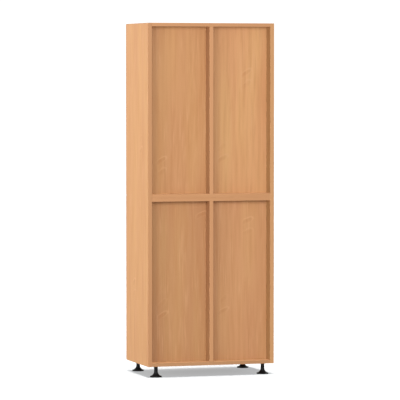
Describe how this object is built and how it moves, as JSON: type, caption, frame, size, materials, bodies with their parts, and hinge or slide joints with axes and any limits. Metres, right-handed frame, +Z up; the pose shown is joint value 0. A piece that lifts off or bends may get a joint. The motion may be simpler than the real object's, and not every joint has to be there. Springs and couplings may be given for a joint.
{
  "type": "tall cupboard",
  "caption": "Tall wood-board cupboard with hinged doors, loose shelves, back panels set deep inside the rear edges, and levelling feet.",
  "frame": {"origin": "on the floor below the middle of the whole cupboard, handles included", "axes": "+X to the right of someone facing the doors, doors face -Y, rear faces +Y, +Z up"},
  "size_m": [0.8, 0.522, 2.142],
  "materials": {
    "beech_board": "satin beech decor melamine",
    "foot_plastic": "black moulded plastic",
    "hinge_steel": "nickel-plated pressed steel",
    "handle_nickel": "satin nickel",
    "pin_steel": "zinc-plated steel",
    "buffer_plastic": "soft translucent plastic"
  },
  "bodies": {
    "carcass": {"left_side": "beech_board", "right_side": "beech_board", "bottom_panel": "beech_board", "lower_middle_panel": "beech_board", "upper_middle_panel": "beech_board", "top_panel": "beech_board", "lower_divider": "beech_board", "upper_divider": "beech_board", "lower_left_back": "beech_board", "lower_left_shelf_1": "beech_board", "lower_left_shelf_2": "beech_board", "lower_right_back": "beech_board", "lower_right_shelf_1": "beech_board", "lower_right_shelf_2": "beech_board", "lower_shelf_pins": "pin_steel", "upper_left_back": "beech_board", "upper_left_shelf_1": "beech_board", "upper_left_shelf_2": "beech_board", "upper_right_back": "beech_board", "upper_right_shelf_1": "beech_board", "upper_right_shelf_2": "beech_board", "upper_shelf_pins": "pin_steel", "door_buffers": "buffer_plastic", "hinge_arms": "hinge_steel", "hinge_plates": "hinge_steel", "foot_inserts": "pin_steel"},
    "lower_left_link_set": {"lower_left_hinge_links": "hinge_steel"},
    "lower_left_door_set": {"lower_left_door": "beech_board", "lower_left_handle": "handle_nickel", "lower_left_handle_screws": "pin_steel", "lower_left_hinge_cups": "hinge_steel"},
    "lower_right_link_set": {"lower_right_hinge_links": "hinge_steel"},
    "lower_right_door_set": {"lower_right_door": "beech_board", "lower_right_handle": "handle_nickel", "lower_right_handle_screws": "pin_steel", "lower_right_hinge_cups": "hinge_steel"},
    "upper_left_link_set": {"upper_left_hinge_links": "hinge_steel"},
    "upper_left_door_set": {"upper_left_door": "beech_board", "upper_left_handle": "handle_nickel", "upper_left_handle_screws": "pin_steel", "upper_left_hinge_cups": "hinge_steel"},
    "upper_right_link_set": {"upper_right_hinge_links": "hinge_steel"},
    "upper_right_door_set": {"upper_right_door": "beech_board", "upper_right_handle": "handle_nickel", "upper_right_handle_screws": "pin_steel", "upper_right_hinge_cups": "hinge_steel"},
    "front_left_foot_set": {"front_left_foot": "foot_plastic", "front_left_spindle": "pin_steel"},
    "front_right_foot_set": {"front_right_foot": "foot_plastic", "front_right_spindle": "pin_steel"},
    "rear_left_foot_set": {"rear_left_foot": "foot_plastic", "rear_left_spindle": "pin_steel"},
    "rear_right_foot_set": {"rear_right_foot": "foot_plastic", "rear_right_spindle": "pin_steel"}
  },
  "joints": [
    {"name": "lower_left_link_swing", "type": "hinge", "parent": "carcass", "child": "lower_left_link_set", "pos_m": [-0.3695, -0.211, 0.57575], "axis": [0, 0, 1], "range_deg": [0, 44]},
    {"name": "lower_left_door_swing", "type": "hinge", "parent": "lower_left_link_set", "child": "lower_left_door_set", "pos_m": [-0.3885, -0.216, 0.57575], "axis": [0, 0, -1], "range_deg": [0, 154]},
    {"name": "lower_right_link_swing", "type": "hinge", "parent": "carcass", "child": "lower_right_link_set", "pos_m": [0.3695, -0.211, 0.57575], "axis": [0, 0, -1], "range_deg": [0, 44]},
    {"name": "lower_right_door_swing", "type": "hinge", "parent": "lower_right_link_set", "child": "lower_right_door_set", "pos_m": [0.3885, -0.216, 0.57575], "axis": [0, 0, 1], "range_deg": [0, 154]},
    {"name": "upper_left_link_swing", "type": "hinge", "parent": "carcass", "child": "upper_left_link_set", "pos_m": [-0.3695, -0.211, 1.61425], "axis": [0, 0, 1], "range_deg": [0, 44]},
    {"name": "upper_left_door_swing", "type": "hinge", "parent": "upper_left_link_set", "child": "upper_left_door_set", "pos_m": [-0.3885, -0.216, 1.61425], "axis": [0, 0, -1], "range_deg": [0, 154]},
    {"name": "upper_right_link_swing", "type": "hinge", "parent": "carcass", "child": "upper_right_link_set", "pos_m": [0.3695, -0.211, 1.61425], "axis": [0, 0, -1], "range_deg": [0, 44]},
    {"name": "upper_right_door_swing", "type": "hinge", "parent": "upper_right_link_set", "child": "upper_right_door_set", "pos_m": [0.3885, -0.216, 1.61425], "axis": [0, 0, 1], "range_deg": [0, 154]},
    {"name": "front_left_foot_height", "type": "slide", "parent": "carcass", "child": "front_left_foot_set", "axis": [0, 0, -1], "range_m": [0, 0.012]},
    {"name": "front_right_foot_height", "type": "slide", "parent": "carcass", "child": "front_right_foot_set", "axis": [0, 0, -1], "range_m": [0, 0.012]},
    {"name": "rear_left_foot_height", "type": "slide", "parent": "carcass", "child": "rear_left_foot_set", "axis": [0, 0, -1], "range_m": [0, 0.012]},
    {"name": "rear_right_foot_height", "type": "slide", "parent": "carcass", "child": "rear_right_foot_set", "axis": [0, 0, -1], "range_m": [0, 0.012]}
  ],
  "couplings": [
    {"joint": "lower_left_link_swing", "follows": "lower_left_door_swing", "ratio": 0.28571},
    {"joint": "lower_right_link_swing", "follows": "lower_right_door_swing", "ratio": 0.28571},
    {"joint": "upper_left_link_swing", "follows": "upper_left_door_swing", "ratio": 0.28571},
    {"joint": "upper_right_link_swing", "follows": "upper_right_door_swing", "ratio": 0.28571}
  ]
}
